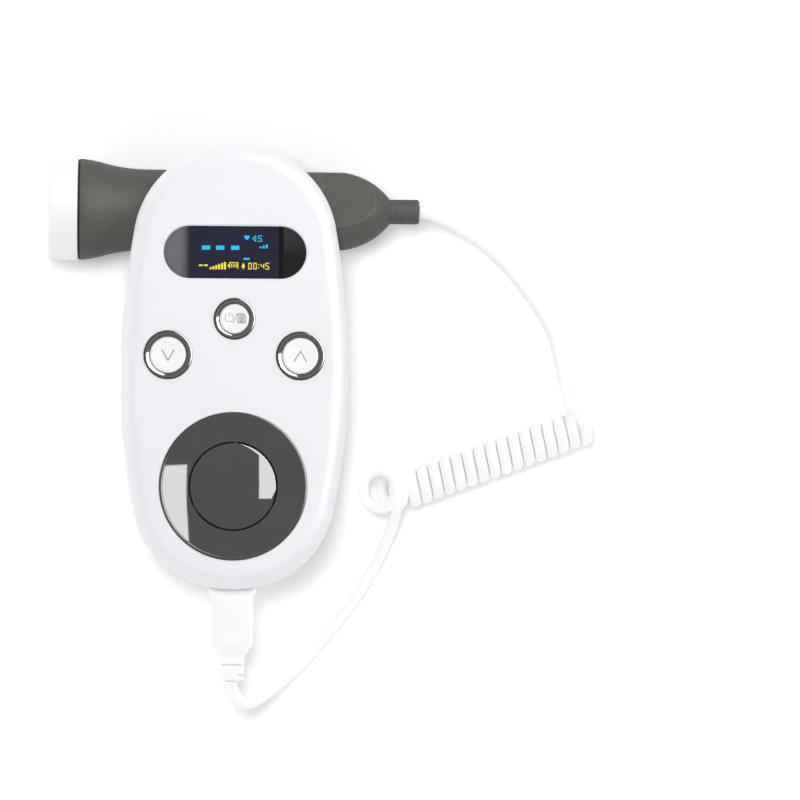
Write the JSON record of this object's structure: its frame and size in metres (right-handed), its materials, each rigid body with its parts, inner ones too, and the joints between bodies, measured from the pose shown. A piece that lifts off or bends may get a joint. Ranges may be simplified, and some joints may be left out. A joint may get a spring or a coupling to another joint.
{
  "type": "fetal doppler monitor",
  "caption": "Handheld pulse doppler with an oval case, a display, keys, a loudspeaker and a clip-in cylindrical probe on a curly cord that plugs into the case.",
  "frame": {"origin": "on the surface that the case lies on, below the middle of its widest place", "axes": "+X is right seen from the front, +Y is towards the probe end, +Z is out of the front face"},
  "size_m": [0.1691, 0.1733, 0.0364],
  "materials": {
    "case_white": "gloss",
    "probe_grey": "fine matte texture",
    "head_white": "gloss",
    "relief_rubber": "satin",
    "chrome": "polished",
    "key_white": "gloss",
    "window_smoke": "polished",
    "panel_glass": "gloss",
    "inner_plastic": "matte",
    "ribbon_film": "satin",
    "board_green": "satin",
    "chip_black": "matte",
    "speaker_grey": "gloss",
    "foam": "matte",
    "pressed_steel": "satin",
    "cone_paper": "matte",
    "magnet_ferrite": "matte",
    "cell_jacket": "satin",
    "crystal_ceramic": "matte",
    "backing_epoxy": "matte",
    "plug_white": "semi-gloss",
    "cord_white": "semi-gloss"
  },
  "bodies": {
    "main_unit": {"front_case": "case_white", "rear_case": "case_white", "battery_cells": "cell_jacket", "battery_springs": "pressed_steel", "battery_contact_plates": "pressed_steel", "case_screws": "pressed_steel", "main_board": "board_green", "board_screws": "pressed_steel", "board_chips": "chip_black", "display_window": "window_smoke", "oled_panel": "panel_glass", "oled_carrier": "inner_plastic", "oled_ribbon": "ribbon_film", "bezel_power": "chrome", "bezel_down": "chrome", "bezel_up": "chrome", "switch_housings": "inner_plastic", "speaker_ring": "speaker_grey", "speaker_disc": "speaker_grey", "speaker_gasket": "foam", "speaker_frame": "pressed_steel", "speaker_cone": "cone_paper", "speaker_magnet": "magnet_ferrite", "socket_shell": "pressed_steel", "socket_tongue": "inner_plastic", "socket_board": "board_green", "cord_lead_probe": "cord_white", "cord_coil": "cord_white", "cord_lead_plug": "cord_white"},
    "probe": {"probe_handle_upper": "probe_grey", "probe_handle_lower": "probe_grey", "probe_head_cap": "head_white", "probe_seal_ring": "relief_rubber", "transducer_crystals": "crystal_ceramic", "transducer_backing": "backing_epoxy", "probe_board": "board_green", "probe_strain_relief": "relief_rubber"},
    "plug": {"plug_shell": "pressed_steel", "plug_insert": "inner_plastic", "plug_overmould": "plug_white", "plug_strain_relief": "plug_white"},
    "battery_door": {"battery_door": "case_white"},
    "power_button": {"button_power": "key_white", "switch_plunger_power": "inner_plastic"},
    "down_button": {"button_down": "key_white", "switch_plunger_down": "inner_plastic"},
    "up_button": {"button_up": "key_white", "switch_plunger_up": "inner_plastic"}
  },
  "joints": [
    {"name": "probe_lift", "type": "slide", "parent": "main_unit", "child": "probe", "axis": [0, 1, 0], "range_m": [0, 0.038], "deforming": ["cord_lead_probe"]},
    {"name": "plug_pull", "type": "slide", "parent": "main_unit", "child": "plug", "axis": [0, -1, 0], "range_m": [0, 0.014], "deforming": ["cord_lead_plug"]},
    {"name": "battery_door_slide", "type": "slide", "parent": "main_unit", "child": "battery_door", "axis": [0, -1, 0], "range_m": [0, 0.062]},
    {"name": "power_press", "type": "slide", "parent": "main_unit", "child": "power_button", "axis": [0, 0, -1], "range_m": [0, 0.0006], "stiffness_N_per_m": 1500, "springref_m": -0.0002},
    {"name": "down_press", "type": "slide", "parent": "main_unit", "child": "down_button", "axis": [0, 0, -1], "range_m": [0, 0.0006], "stiffness_N_per_m": 1500, "springref_m": -0.0002},
    {"name": "up_press", "type": "slide", "parent": "main_unit", "child": "up_button", "axis": [0, 0, -1], "range_m": [0, 0.0006], "stiffness_N_per_m": 1500, "springref_m": -0.0002}
  ]
}
